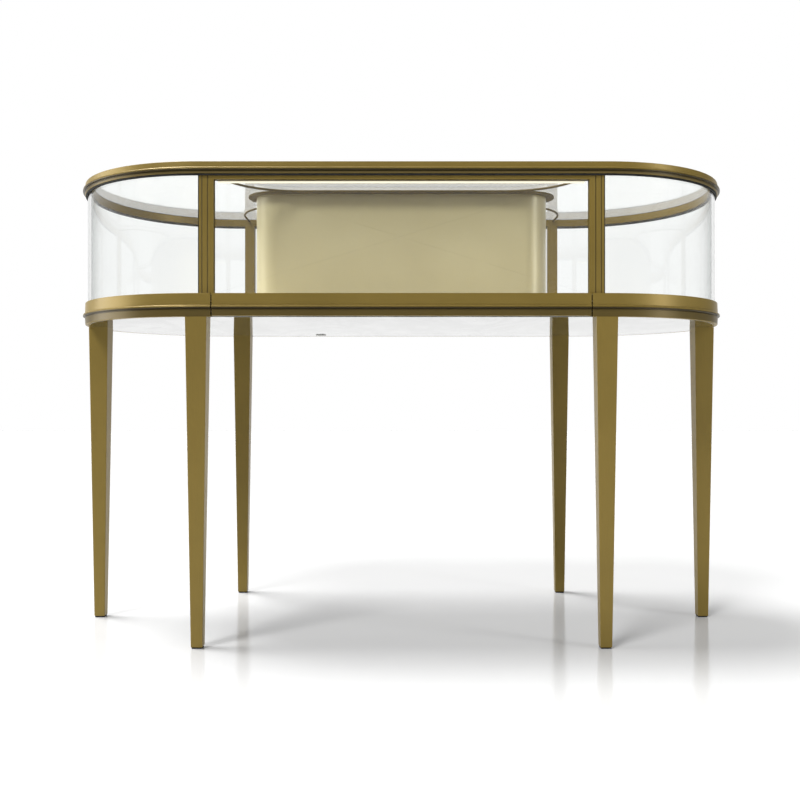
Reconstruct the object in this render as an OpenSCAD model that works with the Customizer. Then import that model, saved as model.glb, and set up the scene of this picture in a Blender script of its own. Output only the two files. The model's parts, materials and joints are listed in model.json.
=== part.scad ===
// Free-standing glass display showcase with a stadium plan.
// A glazed case with curved ends stands on six tapered legs. It has a rounded
// display column in the middle, two hinged glass doors at the rear and a
// shallow drawer in the front of its moulded base.
// Millimetres, +X along the length, +Y to the rear, +Z up.
// The origin is on the floor, under the middle of the case.

/* [Overall size] */
// Length over the mouldings
overall_length = 1400; // [1300:10:1500]
// Depth over the mouldings
overall_depth = 600; // [560:10:640]
// Height to the top of the glass
overall_height = 950; // [900:10:1050]

/* [Case] */
// Height of the moulded base
base_height = 46; // [46:1:60]
// Height of the top moulding
top_height = 23; // [23:1:30]
// How far the thin bead stands out of each moulding
bead_out = 4; // [2:0.5:5]
// Opening height between the base and the top moulding
case_opening = 233; // [200:1:320]

/* [Glass] */
// Thickness of the curved end glass
curved_glass_t = 8; // [6:1:8]
// Thickness of the top glass
top_glass_t = 6; // [5:1:6]
// Thickness of the front glass
front_glass_t = 6; // [5:1:6]
// Thickness of the door glass
door_glass_t = 5; // [4:1:6]

/* [Posts and doors] */
// Width of each corner post
post_w = 24; // [20:1:26]
// Distance from the centre to the inner side of a post
post_inner_x = 371; // [340:1:371]

/* [Column] */
// Length of the display column
column_length = 650; // [500:10:660]
// Depth of the display column
column_depth = 107; // [80:1:120]
// How far the cap plate stands out of the column
cap_overhang = 18; // [8:1:24]

/* [Legs] */
// Width of a leg at the top
leg_top_w = 42; // [36:1:46]
// Width of a leg at the floor
leg_foot_w = 23; // [20:1:30]

/* [Drawer] */
// Depth of the drawer box from front to back
drawer_depth = 410; // [300:10:410]

/* [Hidden] */

$fn = 96;
small = 0.01;

// plan
end_r = overall_depth / 2;
straight_half = overall_length / 2 - end_r;

// heights
top_z = overall_height;
ring_z = top_z - top_height;
base_top_z = ring_z - case_opening;
base_z = base_top_z - base_height;
panel_t = 6;
rail_h = 25;
deck_t = 12;
pad_t = 3;
panel_top_z = base_z + panel_t;
rail_top_z = panel_top_z + rail_h;
deck_top_z = rail_top_z + deck_t;
pad_top_z = deck_top_z + pad_t;

// beads of the two mouldings, and the hollow rise above each
base_bead_z = base_top_z - 29;
base_bead_h = 3;
top_bead_z = top_z - 16.6;
top_bead_h = 2.8;
cove_h = 3;
arc_steps = 6;

// distances in from the outline of the beads
band_in = bead_out;
skin_t = 2;
glass_in = 10;
frame_w = 18;
frame_in = band_in + frame_w;
ledge_t = 1;
glass_under_z = top_z - top_glass_t;
ledge_z = glass_under_z - ledge_t;
groove_play = 0.3;
groove_h = 8;

// posts and the flat frames between them
front_in = glass_in;
frame_d = 12;
post_d = 22;
post_outer_x = post_inner_x + post_w;
edge_seal_t = 1.5;
curved_glass_end_x = post_outer_x + edge_seal_t;
frame_y0 = end_r - front_in;
frame_y1 = frame_y0 - frame_d;
frame_mid_y = (frame_y0 + frame_y1) / 2;
bead_w = 5;
top_rail_h = 11;
bottom_rail_h = 3.4;
pane_hold = 3;
bottom_hold = 2.4;
groove_room = 0.5;
fit_play = 0.1;
inner_line_x = 7;
outer_line_x = 6;
line_w = 1.8;
screw_r = 2.9;
screw_bore_r = 3;
screw_clear_r = 3.3;
screw_in = 15;
screw_head_r = 5;
screw_head_h = 4;
gasket_h = 4;
gasket_z = ring_z - gasket_h;

// light bar behind the front top rail
led_x = post_inner_x - 10;
led_d = 14;
led_wall = 1.2;
strip_end = 5;
strip_side = 2.2;
strip_t = 1;
diffuser_out = 1.5;
diffuser_in = 1;
led_z0 = ring_z - top_rail_h;

// rear doors
pivot_gap = 9;
pivot_x = post_inner_x - pivot_gap;
pivot_r = 6;
pin_r = 2.5;
pin_bore_r = 2.55;
pin_in = 6;
door_z0 = pad_top_z + 3;
door_z1 = gasket_z - 4;
hinge_stile_w = 8;
lock_stile_w = 24;
door_gap = 2;
lock_stile_x0 = door_gap / 2;
lock_stile_x1 = lock_stile_x0 + lock_stile_w;
lock_x = (lock_stile_x0 + lock_stile_x1) / 2;
lock_z = (door_z0 + door_z1) / 2;
stile_hold = 3.8;
door_glass_gap = 1.5;
slot_play = 0.3;
lock_r = 8;
plug_r = 5;
plug_bore_r = 5.05;
plug_stand = 2.6;
lock_flange_w = 2.5;
lock_flange_t = 2;
key_slot_w = 1.2;
key_slot_h = 6;
cam_len = 24;
cam_w = 9;
cam_t = 2;
cam_screw_r = 3;
cam_screw_h = 1.6;
cam_y = frame_y1 - 3.6;
knob_drop = 48;
// radius and height of each point of a knob, from the stile outwards
knob_profile = [[0, 0], [5, 0], [3.5, 1.2], [3.5, 3], [6, 4.4], [7, 5.6], [7, 7.6], [6, 8.8], [0, 9.2]];

// flush bolt on the left door
bolt_r = 3;
bolt_play = 0.08;
bolt_y = frame_y1 - 7;
bolt_z0 = door_z0 + 1.5;
bolt_len = 52;
bolt_socket_h = 8;
bolt_socket_play = 0.6;
guide_h = 8;
guide_gap = 27;
guide_x = 7;
guide_y = 5;
guide_z0 = bolt_z0 + 2;
bolt_thumb_h = 8;
bolt_thumb_len = 9;
bolt_thumb_gap = 0.2;

// magnetic catch
catch_x = 16;
catch_d = 12;
catch_gap = 0.4;
catch_drop = 8;
catch_in = 12;

// base frame
cross_rail_w = 40;
cross_rail_x = straight_half - 26;
rail_wall = 2;
mid_rail_y = 140;
rear_rail_y = 262;
flange_w = 10;
arm_end_gap = 6;
bolt_access_r = 10;

// legs
leg_x = straight_half;
leg_y = end_r - band_in - leg_top_w / 2;
leg_end_x = straight_half + end_r - band_in - leg_top_w / 2;
glide_h = 3;
glide_play = 1.5;
leg_wall = 2;
leg_plate_t = 8;
bolt_shank_r = 4.9;
bolt_bore_r = 5.3;
bolt_end = 6;
bolt_head_r = 9;
bolt_head_h = 6.5;
glide_pin_r = 2.9;
glide_pin_h = 8;

// drawer
seam_x = post_inner_x + 0.5;
drawer_gap = 2.5;
drawer_front_x = seam_x - drawer_gap;
drawer_lift = 2;
drawer_y0 = -(end_r - band_in - skin_t);
box_side_x = 362;
box_wall = 10;
box_z0 = panel_top_z + 3;
box_h = 19;
box_floor = 3;
liner_play = 1;
liner_t = 2.5;
runner_h = 17;
runner_z0 = panel_top_z + 4;
runner_t = 1.5;
runner_play = 1.2;
runner_set_in = 8;
runner_stop = 12;
fixed_lip = 4;
moving_lip = 3;

// supply
driver_x0 = -165;
driver_len = 180;
driver_y0 = 185;
driver_d = 40;
driver_h = 20;
gland_x = -200;
gland_y = 235;
gland_r = 9;
gland_bore_r = 4;
gland_rim_w = 3;
gland_rim_t = 2;
gland_tail = 6;

// column and the bars beside it
column_r = column_depth / 2;
column_half = column_length / 2 - column_r;
cap_r = column_r + cap_overhang;
cap_t = 4;
bumper_t = 2;
bumper_r = 6;
bumper_share = 0.7;
cap_z = glass_under_z - bumper_t - cap_t;
bar_r = 2.5;
bar_bend = 148;
bar_in = 5;
bar_y = cap_r + bar_r + 0.1;
bar_z = cap_z + cap_t / 2;
front_bar_x = 368;
rear_bar_x = 386;

BRONZE = [0.55, 0.44, 0.22];
CREAM = [0.86, 0.81, 0.64];
GLASS = [0.80, 0.90, 0.88, 0.35];
BLACK = [0.07, 0.07, 0.06];
STEEL = [0.42, 0.43, 0.44];
WHITE = [0.92, 0.92, 0.90];

// ---------- plan shapes ----------

// Outline of the case, drawn in from the beads by the given distance.
module outline(inset) {
    r = end_r - inset;
    square([2 * straight_half, 2 * r], center = true);
    for (s = [-1, 1]) translate([s * straight_half, 0]) circle(r = r);
}

// A slot with round ends, centred on the origin.
module slot(half, r) {
    square([2 * half, 2 * r], center = true);
    for (s = [-1, 1]) translate([s * half, 0]) circle(r = r);
}

// A flat plate in the outline's shape.
module outline_plate(inset, z, t) {
    translate([0, 0, z]) linear_extrude(t) outline(inset);
}

// A box between two corners.
module box(a, b) {
    translate(a) cube([b[0] - a[0], b[1] - a[1], b[2] - a[2]]);
}

// The same box mirrored to the left when side is -1.
module side_box(side, a, b) {
    if (side > 0) box(a, b);
    else mirror([1, 0, 0]) box(a, b);
}

// ---------- sweeps of a moulding section ----------
// A section lists points [distance in from the outline, height].

module sweep_end(side, section) {
    points = [for (p = section) [end_r - p[0], p[1]]];
    turn = side > 0 ? -90 : 90;
    translate([side * straight_half, 0, 0]) rotate([0, 0, turn])
        rotate_extrude(angle = 180) polygon(points);
}

// A straight run from x0 to x1 along the front (side -1) or the rear (side 1).
module sweep_straight(side, x0, x1, section) {
    points = [for (p = section) [side * (end_r - p[0]), p[1]]];
    translate([x0, 0, 0]) rotate([90, 0, 90]) linear_extrude(x1 - x0) polygon(points);
}

module sweep_all(section) {
    for (s = [-1, 1]) {
        sweep_end(s, section);
        sweep_straight(s, -straight_half, straight_half, section);
    }
}

// One rounded end with its two short straights, down to the given distance from the middle.
module sweep_bow(side, from_x, section) {
    sweep_end(side, section);
    for (s = [-1, 1]) {
        x0 = side > 0 ? from_x : -straight_half;
        x1 = side > 0 ? straight_half : -from_x;
        sweep_straight(s, x0, x1, section);
    }
}

// ---------- mouldings ----------

// Rounded bead edge from z0 up to z1.
function bead_nose(z0, z1) =
    let (mid = (z0 + z1) / 2, half = (z1 - z0) / 2)
    [for (i = [0 : arc_steps]) let (a = -90 + 180 * i / arc_steps) [1 - cos(a), mid + half * sin(a)]];

// Hollow that rises from the bead at height z back to the band.
function cove(z) =
    [for (i = [1 : arc_steps]) let (a = 90 * i / arc_steps) [band_in * (1 - cos(a)), z + cove_h * sin(a)]];

// Outside face of a moulding: lower band, bead and upper band, from low to high.
function moulding_face(z0, bead_z, bead_h, z1, chamfer = 0.8) = concat(
    [[band_in, z0], [band_in, bead_z]],
    bead_nose(bead_z, bead_z + bead_h),
    cove(bead_z + bead_h),
    [[band_in, z1 - chamfer], [band_in + chamfer, z1]]
);

// Folded skin of the base with a lip at its top and a flange at its foot.
function fascia_section(z0) = concat(
    moulding_face(z0, base_bead_z, base_bead_h, base_top_z),
    [
        [glass_in - 0.5, base_top_z],
        [glass_in - 0.5, base_top_z - skin_t],
        [band_in + skin_t, base_top_z - skin_t],
        [band_in + skin_t, z0 + skin_t],
        [band_in + flange_w, z0 + skin_t],
        [band_in + flange_w, z0],
    ]
);

// Top moulding with a rebate that holds the top glass.
function top_section() = concat(
    moulding_face(ring_z, top_bead_z, top_bead_h, top_z),
    [
        [glass_in, top_z],
        [glass_in, ledge_z],
        [frame_in, ledge_z],
        [frame_in, ring_z],
    ]
);

function rect_section(in0, in1, z0, z1) = [[in0, z0], [in1, z0], [in1, z1], [in0, z1]];

// ---------- top ----------

module top_frame() {
    groove = rect_section(
        glass_in - groove_play, glass_in + curved_glass_t + groove_play, ring_z - 1, ring_z + groove_h);
    color(BRONZE) difference() {
        sweep_all(top_section());
        for (s = [-1, 1]) sweep_bow(s, post_outer_x, groove);
        for (s = [-1, 1]) translate([s * pivot_x, frame_mid_y, ring_z - 1])
            cylinder(r = pin_bore_r, h = 1 + pin_in);
        for (s = [-1, 1]) bar_hole(s * front_bar_x, -1);
        for (s = [-1, 1]) bar_hole(s * rear_bar_x, 1);
    }
}

// Socket for the end of a support bar, in the inner face of the top frame.
module bar_hole(x, side) {
    translate([x, side * (end_r - frame_in - 1), bar_z]) rotate([-90 * side, 0, 0])
        cylinder(r = bar_r + 0.1, h = 7);
}

module top_glass() {
    color(GLASS) outline_plate(glass_in + 0.5, glass_under_z, top_glass_t);
}

module top_gasket() {
    color(BLACK) {
        sweep_all(rect_section(band_in + 2, glass_in - 0.1, gasket_z, ring_z));
        for (s = [-1, 1]) sweep_bow(s, curved_glass_end_x,
            rect_section(glass_in + curved_glass_t + 0.1, frame_in - 0.5, gasket_z + 1, ring_z));
        difference() {
            outline_plate(glass_in + 1, ledge_z, ledge_t);
            outline_plate(frame_in - 1, ledge_z - 1, ledge_t + 2);
        }
    }
}

// ---------- curved ends ----------

module curved_glass(side) {
    z0 = deck_top_z + edge_seal_t;
    z1 = ring_z + groove_h - 1;
    section = rect_section(glass_in, glass_in + curved_glass_t, z0, z1);
    color(GLASS) sweep_bow(side, curved_glass_end_x, section);
}

module curved_glass_left() curved_glass(-1);
module curved_glass_right() curved_glass(1);

// Setting strips under the curved glass and upright seals against the posts.
module glass_seals() {
    color(BLACK) for (s = [-1, 1]) {
        sweep_bow(s, curved_glass_end_x,
            rect_section(glass_in, glass_in + curved_glass_t, deck_top_z, deck_top_z + edge_seal_t));
        for (t = [-1, 1]) {
            y0 = t > 0 ? frame_y0 - curved_glass_t : -frame_y0;
            side_box(s, [post_outer_x, y0, deck_top_z], [curved_glass_end_x, y0 + curved_glass_t, ring_z]);
        }
    }
}

// ---------- posts ----------

// Square post with a small step along its inner edge, where the flat frames meet it.
module post(side, front) {
    y0 = front > 0 ? frame_y0 - post_d : -frame_y0;
    screw_y = front * (frame_y0 - post_d / 2);
    color(BRONZE) difference() {
        side_box(side, [post_inner_x, y0, deck_top_z], [post_outer_x, y0 + post_d, ring_z]);
        for (x = [post_inner_x + inner_line_x, post_outer_x - outer_line_x])
            translate([side * x, front * frame_y0, deck_top_z - 1]) rotate([0, 0, 45])
                translate([-line_w / 2, -line_w / 2, 0]) cube([line_w, line_w, ring_z - deck_top_z + 2]);
        translate([side * (post_inner_x + post_w / 2), screw_y, deck_top_z - 1])
            cylinder(r = screw_bore_r, h = screw_in + 2);
    }
}

module front_post_left() post(-1, -1);
module front_post_right() post(1, -1);
module rear_post_left() post(-1, 1);
module rear_post_right() post(1, 1);

// ---------- fixed front glass ----------

module pane_groove() {
    x = post_inner_x - bead_w + pane_hold + groove_room;
    half = front_glass_t / 2 + fit_play;
    box([-x, -frame_mid_y - half, deck_top_z + bottom_rail_h - bottom_hold - groove_room],
        [x, -frame_mid_y + half, ring_z - top_rail_h + pane_hold + groove_room]);
}

module front_top_rail() {
    color(BRONZE) difference() {
        box([-post_inner_x, -frame_y0, ring_z - top_rail_h], [post_inner_x, -frame_y1, ring_z]);
        pane_groove();
    }
}

module front_bottom_rail() {
    color(BRONZE) difference() {
        box([-post_inner_x, -frame_y0, deck_top_z], [post_inner_x, -frame_y1, deck_top_z + bottom_rail_h]);
        pane_groove();
    }
}

// The two upright glazing beads beside the front glass.
module front_beads() {
    color(BRONZE) for (s = [-1, 1]) difference() {
        side_box(s, [post_inner_x - bead_w, -frame_y0, deck_top_z + bottom_rail_h],
            [post_inner_x, -frame_y1, ring_z - top_rail_h]);
        pane_groove();
    }
}

module front_glass() {
    x = post_inner_x - bead_w + pane_hold;
    color(GLASS)
        box([-x, -frame_mid_y - front_glass_t / 2, deck_top_z + bottom_rail_h - bottom_hold],
            [x, -frame_mid_y + front_glass_t / 2, ring_z - top_rail_h + pane_hold]);
}

// ---------- light bar ----------

module led_channel() {
    color("silver") difference() {
        box([-led_x, -frame_y1, led_z0], [led_x, -frame_y1 + led_d, ring_z]);
        box([-led_x - 1, -frame_y1 + led_wall, led_z0 - 1],
            [led_x + 1, -frame_y1 + led_d - led_wall, ring_z - led_wall]);
    }
}

module led_strip() {
    x = led_x - strip_end;
    color(WHITE) box([-x, -frame_y1 + strip_side, ring_z - led_wall - strip_t],
        [x, -frame_y1 + led_d - strip_side, ring_z - led_wall]);
}

module led_diffuser() {
    side = led_wall + fit_play;
    color(WHITE) box([-led_x, -frame_y1 + side, led_z0 - diffuser_out],
        [led_x, -frame_y1 + led_d - side, led_z0 + diffuser_in]);
}

// ---------- deck ----------

module pin_sockets(z, h) {
    for (s = [-1, 1]) translate([s * pivot_x, frame_mid_y, z]) cylinder(r = pin_bore_r, h = h);
}

module bolt_socket() {
    translate([-lock_x, bolt_y, deck_top_z - bolt_socket_h])
        cylinder(r = bolt_r + bolt_socket_play, h = bolt_socket_h + pad_t + 1);
}

module deck_board() {
    color(CREAM) difference() {
        outline_plate(band_in + skin_t + 0.3, rail_top_z, deck_t);
        pin_sockets(deck_top_z - pin_in - 2, pin_in + 3);
        bolt_socket();
        for (s = [-1, 1], t = [-1, 1])
            translate([s * (post_inner_x + post_w / 2), t * (frame_y0 - post_d / 2), rail_top_z - 1])
                cylinder(r = screw_clear_r, h = deck_t + 2);
    }
}

// Cloth-covered board that lies on the deck, notched round the posts.
module deck_pad() {
    pad_in = front_in + frame_d + 1;
    color(CREAM) difference() {
        outline_plate(pad_in, deck_top_z, pad_t);
        for (s = [-1, 1], t = [-1, 1]) {
            y0 = t > 0 ? frame_y0 - post_d - 1 : -frame_y0;
            side_box(s, [post_inner_x - 1, y0, deck_top_z - 1],
                [post_outer_x + 1, y0 + post_d + 1, pad_top_z + 1]);
        }
        bolt_socket();
    }
}

// ---------- display column ----------

module core_body() {
    wall = 6;
    color(CREAM) translate([0, 0, pad_top_z]) linear_extrude(cap_z - pad_top_z) difference() {
        slot(column_half, column_r);
        slot(column_half, column_r - wall);
    }
}

module core_cap() {
    color(BRONZE) translate([0, 0, cap_z]) linear_extrude(cap_t) slot(column_half, cap_r);
}

// Clear pads between the cap and the top glass.
module glass_bumpers() {
    color(GLASS) for (i = [-1 : 1], t = [-1, 1])
        translate([i * column_half, t * column_r * bumper_share, cap_z + cap_t])
            cylinder(r = bumper_r, h = bumper_t);
}

// Round bar bent into a U. It ends in the top frame and runs along the cap.
module support_bar(half_x, side) {
    end_y = end_r - frame_in + bar_in;
    color(BRONZE) mirror([0, side > 0 ? 0 : 1, 0]) translate([0, 0, bar_z]) {
        translate([-(half_x - bar_bend), bar_y, 0]) rotate([0, 90, 0])
            cylinder(r = bar_r, h = 2 * (half_x - bar_bend), $fn = 32);
        for (s = [-1, 1]) {
            translate([s * (half_x - bar_bend), bar_y + bar_bend, 0])
                rotate([0, 0, s > 0 ? -90 : 180]) rotate_extrude(angle = 90)
                    translate([bar_bend, 0]) circle(r = bar_r, $fn = 32);
            translate([s * half_x, bar_y + bar_bend, 0]) rotate([-90, 0, 0])
                cylinder(r = bar_r, h = end_y - bar_y - bar_bend, $fn = 32);
        }
    }
}

module front_support_bar() support_bar(front_bar_x, -1);
module rear_support_bar() support_bar(rear_bar_x, 1);

// ---------- base mouldings ----------

module fascia_left() color(BRONZE) sweep_bow(-1, seam_x, fascia_section(base_z));
module fascia_right() color(BRONZE) sweep_bow(1, seam_x, fascia_section(base_z));
module fascia_rear() {
    color(BRONZE) sweep_straight(1, -seam_x + 0.5, seam_x - 0.5, fascia_section(base_z));
}

module bottom_panel() {
    color(WHITE) difference() {
        outline_plate(band_in + flange_w + 0.3, base_z, panel_t);
        at_legs() translate([0, 0, base_z - 1]) cylinder(r = bolt_bore_r, h = panel_t + 2);
        translate([gland_x, gland_y, base_z - 1]) cylinder(r = gland_r + fit_play, h = panel_t + 2);
    }
}

// ---------- steel frame in the base ----------

module at_legs() {
    for (s = [-1, 1]) {
        for (t = [-1, 1]) translate([s * leg_x, t * leg_y, 0]) children();
        translate([s * leg_end_x, 0, 0]) children();
    }
}

// Welded tee of rectangular tube: a cross rail over two legs and an arm out to the end leg.
module side_frame(side) {
    half_y = end_r - glass_in;
    arm_x1 = leg_end_x + leg_top_w / 2 - arm_end_gap;
    arm_y = cross_rail_w / 2;
    rail_x1 = cross_rail_x + cross_rail_w;
    w = rail_wall;
    color(STEEL) difference() {
        union() {
            side_box(side, [cross_rail_x, -half_y, panel_top_z], [rail_x1, half_y, rail_top_z]);
            side_box(side, [rail_x1 - w, -arm_y, panel_top_z], [arm_x1, arm_y, rail_top_z]);
        }
        side_box(side, [cross_rail_x + w, -half_y - 1, panel_top_z + w],
            [rail_x1 - w, half_y + 1, rail_top_z - w]);
        side_box(side, [rail_x1 + small, -arm_y + w, panel_top_z + w],
            [arm_x1 + 1, arm_y - w, rail_top_z - w]);
        at_legs() translate([0, 0, panel_top_z - 1]) cylinder(r = bolt_bore_r, h = w + 2);
        at_legs() translate([0, 0, rail_top_z - w - 1]) cylinder(r = bolt_access_r, h = w + 2);
        for (t = [-1, 1])
            translate([side * (post_inner_x + post_w / 2), t * (frame_y0 - post_d / 2), rail_top_z - w - 1])
                cylinder(r = 3.3, h = w + 2);
    }
}

module side_frame_left() side_frame(-1);
module side_frame_right() side_frame(1);

// Two square tubes that tie the side frames together behind the drawer.
module tie_rails() {
    color(STEEL) for (y0 = [mid_rail_y, rear_rail_y]) difference() {
        box([-cross_rail_x, y0, panel_top_z], [cross_rail_x, y0 + rail_h, rail_top_z]);
        box([-cross_rail_x - 1, y0 + rail_wall, panel_top_z + rail_wall],
            [cross_rail_x + 1, y0 + rail_h - rail_wall, rail_top_z - rail_wall]);
    }
}

// ---------- legs ----------

// Square pyramid frustum from half-width a at z0 to half-width b at z1.
module frustum(a, b, z0, z1) {
    polyhedron(
        points = [
            [-a, -a, z0], [a, -a, z0], [a, a, z0], [-a, a, z0],
            [-b, -b, z1], [b, -b, z1], [b, b, z1], [-b, b, z1],
        ],
        faces = [[0, 1, 2, 3], [7, 6, 5, 4], [4, 5, 1, 0], [5, 6, 2, 1], [6, 7, 3, 2], [7, 4, 0, 3]]
    );
}

// Tapered box leg with a bored plate at its top.
module leg(x, y) {
    a = leg_foot_w / 2;
    b = leg_top_w / 2;
    plate_z = base_z - leg_plate_t;
    color(BRONZE) translate([x, y, 0]) difference() {
        frustum(a, b, glide_h, base_z);
        frustum(a - leg_wall, b - leg_wall, glide_h + leg_wall, plate_z);
        translate([0, 0, plate_z - 1]) cylinder(r = bolt_shank_r + fit_play, h = leg_plate_t + 2);
        translate([0, 0, glide_h - 1]) cylinder(r = glide_pin_r + fit_play, h = leg_wall + 2);
    }
}

module leg_front_left() leg(-leg_x, -leg_y);
module leg_front_right() leg(leg_x, -leg_y);
module leg_end_left() leg(-leg_end_x, 0);
module leg_end_right() leg(leg_end_x, 0);
module leg_rear_left() leg(-leg_x, leg_y);
module leg_rear_right() leg(leg_x, leg_y);

module foot_glides() {
    w = leg_foot_w - 2 * glide_play;
    color(BLACK) at_legs() {
        translate([-w / 2, -w / 2, 0]) cube([w, w, glide_h]);
        translate([0, 0, glide_h - small]) cylinder(r = glide_pin_r, h = glide_pin_h);
    }
}

// Leg bolts with hexagon heads, and the screws that hold the posts.
module frame_bolts() {
    color("silver") {
        at_legs() {
            translate([0, 0, base_z - leg_plate_t - bolt_end])
                cylinder(r = bolt_shank_r, h = bolt_end + leg_plate_t + panel_t + rail_wall);
            translate([0, 0, panel_top_z + rail_wall]) cylinder(r = bolt_head_r, h = bolt_head_h, $fn = 6);
        }
        for (s = [-1, 1], t = [-1, 1])
            translate([s * (post_inner_x + post_w / 2), t * (frame_y0 - post_d / 2), 0]) {
                translate([0, 0, rail_top_z - rail_wall - screw_head_h])
                    cylinder(r = screw_head_r, h = screw_head_h);
                translate([0, 0, rail_top_z - rail_wall])
                    cylinder(r = screw_r, h = rail_wall + deck_t + screw_in);
            }
    }
}

// ---------- power ----------

module led_driver() {
    color(WHITE) box([driver_x0, driver_y0, panel_top_z],
        [driver_x0 + driver_len, driver_y0 + driver_d, panel_top_z + driver_h]);
}

// Bushed hole for the supply lead in the bottom panel.
module cable_gland() {
    color(WHITE) translate([gland_x, gland_y, base_z]) difference() {
        union() {
            translate([0, 0, -gland_rim_t]) cylinder(r = gland_r + gland_rim_w, h = gland_rim_t);
            cylinder(r = gland_r, h = panel_t + gland_tail);
        }
        translate([0, 0, -gland_rim_t - 1])
            cylinder(r = gland_bore_r, h = gland_rim_t + panel_t + gland_tail + 2);
    }
}

// ---------- drawer ----------

module drawer_front() {
    color(BRONZE) sweep_straight(-1, -drawer_front_x, drawer_front_x, fascia_section(base_z + drawer_lift));
}

module drawer_box() {
    y0 = drawer_y0;
    y1 = y0 + drawer_depth;
    z1 = box_z0 + box_h;
    color("burlywood") difference() {
        box([-box_side_x, y0, box_z0], [box_side_x, y1, z1]);
        box([-box_side_x + box_wall, y0 + box_wall, box_z0 + box_floor],
            [box_side_x - box_wall, y1 - box_wall, z1 + 1]);
    }
}

module drawer_liner() {
    y0 = drawer_y0 + box_wall + liner_play;
    y1 = y0 + drawer_depth - 2 * (box_wall + liner_play);
    x = box_side_x - box_wall - liner_play;
    color(CREAM) box([-x, y0, box_z0 + box_floor], [x, y1, box_z0 + box_floor + liner_t]);
}

// Channel runner of height h, with its web at x_web and its lips reaching to x_lip.
module runner(side, x_web, x_lip, z0, h, y0, y1) {
    lo = min(x_web, x_lip);
    hi = max(x_web, x_lip);
    web0 = x_web < x_lip ? x_web : x_web - runner_t;
    side_box(side, [web0, y0, z0], [web0 + runner_t, y1, z0 + h]);
    side_box(side, [lo, y0, z0], [hi, y1, z0 + runner_t]);
    side_box(side, [lo, y0, z0 + h - runner_t], [hi, y1, z0 + h]);
}

module fixed_runners() {
    color("silver") for (s = [-1, 1])
        runner(s, cross_rail_x, box_side_x + fixed_lip, runner_z0, runner_h,
            drawer_y0 + runner_set_in, mid_rail_y - fixed_lip);
}

module moving_runners() {
    y0 = drawer_y0 + runner_set_in;
    inset = runner_t + runner_play;
    color("silver") for (s = [-1, 1])
        runner(s, box_side_x, cross_rail_x - moving_lip, runner_z0 + inset, runner_h - 2 * inset,
            y0, y0 + drawer_depth - runner_stop);
}

// ---------- rear doors ----------

// Upright edge bar of a door with a rounded outer side and a pivot pin at each end.
module hinge_stile(side) {
    color(BRONZE) difference() {
        union() {
            translate([side * pivot_x, frame_mid_y, door_z0]) cylinder(r = pivot_r, h = door_z1 - door_z0);
            side_box(side, [pivot_x - hinge_stile_w, frame_y1, door_z0], [pivot_x, frame_y0, door_z1]);
            translate([side * pivot_x, frame_mid_y, deck_top_z - pin_in])
                cylinder(r = pin_r, h = ring_z + pin_in - 1 - deck_top_z + pin_in);
        }
        door_glass_slot(side);
    }
}

module door_glass_slot(side) {
    half = door_glass_t / 2 + fit_play;
    side_box(side, [lock_stile_x1 - stile_hold - slot_play, frame_mid_y - half, door_z0 - 1],
        [pivot_x - hinge_stile_w + stile_hold - door_glass_gap + slot_play,
            frame_mid_y + half, door_z1 + 1]);
}

module door_glass(side) {
    half = door_glass_t / 2;
    color(GLASS) side_box(side, [lock_stile_x1 - stile_hold, frame_mid_y - half, door_z0],
        [pivot_x - hinge_stile_w + stile_hold - door_glass_gap, frame_mid_y + half, door_z1]);
}

module lock_stile(side, bored) {
    color(BRONZE) difference() {
        side_box(side, [lock_stile_x0, frame_y1, door_z0], [lock_stile_x1, frame_y0, door_z1]);
        door_glass_slot(side);
        if (bored) translate([side * lock_x, frame_y1 - 1, lock_z]) rotate([-90, 0, 0])
            cylinder(r = lock_r, h = frame_d + 2);
    }
}

module door_knob(side) {
    color(BRONZE) translate([side * lock_x, frame_y0, lock_z - knob_drop]) rotate([-90, 0, 0])
        rotate_extrude() polygon(knob_profile);
}

module left_hinge_stile() hinge_stile(-1);
module right_hinge_stile() hinge_stile(1);
module left_door_glass() door_glass(-1);
module right_door_glass() door_glass(1);
module left_lock_stile() lock_stile(-1, false);
module right_lock_stile() lock_stile(1, true);
module left_knob() door_knob(-1);
module right_knob() door_knob(1);

// Lock body in the right door, with its flange outside.
module lock_housing() {
    color("silver") translate([lock_x, 0, lock_z]) rotate([-90, 0, 0]) difference() {
        union() {
            translate([0, 0, frame_y1 - 1]) cylinder(r = lock_r - fit_play, h = frame_d + 1);
            translate([0, 0, frame_y0]) cylinder(r = lock_r + lock_flange_w, h = lock_flange_t);
        }
        translate([0, 0, frame_y1 - 2]) cylinder(r = plug_bore_r, h = frame_d + 5);
    }
}

// Turning plug with a key slot outside and a cam inside, which hangs down when unlocked.
module lock_plug() {
    color(BRONZE) translate([lock_x, 0, lock_z]) difference() {
        union() {
            rotate([-90, 0, 0]) translate([0, 0, cam_y + cam_t])
                cylinder(r = plug_r, h = frame_y0 + plug_stand - cam_y - cam_t);
            box([-cam_w / 2, cam_y, -cam_len], [cam_w / 2, cam_y + cam_t, cam_w / 2]);
            rotate([-90, 0, 0]) translate([0, 0, cam_y - cam_screw_h])
                cylinder(r = cam_screw_r, h = cam_screw_h);
        }
        box([-key_slot_w / 2, frame_y0 - 1, -key_slot_h / 2],
            [key_slot_w / 2, frame_y0 + plug_stand + 1, key_slot_h / 2]);
    }
}

// Spacer bushes that carry the doors on the deck.
module pivot_bushes() {
    color(BLACK) for (s = [-1, 1]) translate([s * pivot_x, frame_mid_y, deck_top_z]) difference() {
        cylinder(r = 2 * pin_r, h = door_z0 - fit_play - deck_top_z);
        translate([0, 0, -1]) cylinder(r = pin_bore_r, h = door_z0 - deck_top_z + 2);
    }
}

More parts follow.
